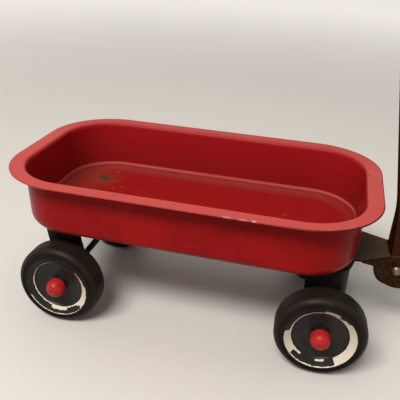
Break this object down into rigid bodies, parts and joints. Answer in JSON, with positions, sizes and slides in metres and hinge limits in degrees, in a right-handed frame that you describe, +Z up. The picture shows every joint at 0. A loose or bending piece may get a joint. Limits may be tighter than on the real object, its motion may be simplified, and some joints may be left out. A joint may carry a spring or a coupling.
{
  "type": "toy wagon",
  "caption": "Small pressed-steel toy wagon: rounded tray with flat rim, spinning wheels, steering front truck and a hinged pull handle with a loop grip.",
  "frame": {"origin": "on the ground, at the middle of the whole wagon's footprint, handle upright", "axes": "+X forward to the handle, +Y to the wagon's left, +Z up"},
  "size_m": [0.3708, 0.1836, 0.3318],
  "materials": {
    "red_enamel": "gloss",
    "black_enamel": "satin",
    "bare_steel": "satin",
    "tyre_black": "satin",
    "wheel_black": "satin",
    "bush_nylon": "matte",
    "cap_red": "gloss"
  },
  "bodies": {
    "chassis": {"tray": "red_enamel", "rear_axle_bracket": "black_enamel", "rear_bracket_rivets": "red_enamel", "rear_brace_left": "black_enamel", "rear_brace_right": "black_enamel", "brace_rivets": "red_enamel", "rear_axle": "bare_steel", "rear_axle_washers": "bare_steel", "turntable_plate": "black_enamel", "turntable_rivets": "red_enamel", "kingpin_bolt": "bare_steel", "kingpin_washer": "bare_steel", "kingpin_nut": "bare_steel", "hub_cap_rear_left": "cap_red", "hub_cap_rear_right": "cap_red"},
    "front_truck": {"steering_bracket": "black_enamel", "tongue": "black_enamel", "tongue_rivets": "black_enamel", "front_axle": "bare_steel", "front_axle_washers": "bare_steel", "handle_pivot_bolt": "bare_steel", "handle_pivot_nut": "bare_steel", "hub_cap_front_left": "cap_red", "hub_cap_front_right": "cap_red"},
    "handle": {"handle_shaft": "black_enamel", "handle_grip": "black_enamel", "grip_rivets": "black_enamel"},
    "wheel_rear_left": {"tyre_rear_left": "tyre_black", "wheel_disc_rear_left": "wheel_black", "wheel_bush_rear_left": "bush_nylon"},
    "wheel_rear_right": {"tyre_rear_right": "tyre_black", "wheel_disc_rear_right": "wheel_black", "wheel_bush_rear_right": "bush_nylon"},
    "wheel_front_left": {"tyre_front_left": "tyre_black", "wheel_disc_front_left": "wheel_black", "wheel_bush_front_left": "bush_nylon"},
    "wheel_front_right": {"tyre_front_right": "tyre_black", "wheel_disc_front_right": "wheel_black", "wheel_bush_front_right": "bush_nylon"}
  },
  "joints": [
    {"name": "steering", "type": "hinge", "parent": "chassis", "child": "front_truck", "pos_m": [0.09563, 0, 0.0874], "axis": [0, 0, 1], "range_deg": [-27, 19]},
    {"name": "handle_swing", "type": "hinge", "parent": "front_truck", "child": "handle", "pos_m": [0.15649, 0.00426, 0.0715], "axis": [-0.0698, 0.9976, 0], "range_deg": [0, 100]},
    {"name": "wheel_rear_left_spin", "type": "hinge", "parent": "chassis", "child": "wheel_rear_left", "pos_m": [-0.13237, 0.067, 0.038], "axis": [0, 1, 0], "continuous": true},
    {"name": "wheel_rear_right_spin", "type": "hinge", "parent": "chassis", "child": "wheel_rear_right", "pos_m": [-0.13237, -0.067, 0.038], "axis": [0, 1, 0], "continuous": true},
    {"name": "wheel_front_left_spin", "type": "hinge", "parent": "front_truck", "child": "wheel_front_left", "pos_m": [0.09096, 0.06684, 0.038], "axis": [-0.0698, 0.9976, 0], "continuous": true},
    {"name": "wheel_front_right_spin", "type": "hinge", "parent": "front_truck", "child": "wheel_front_right", "pos_m": [0.10031, -0.06684, 0.038], "axis": [-0.0698, 0.9976, 0], "continuous": true}
  ]
}
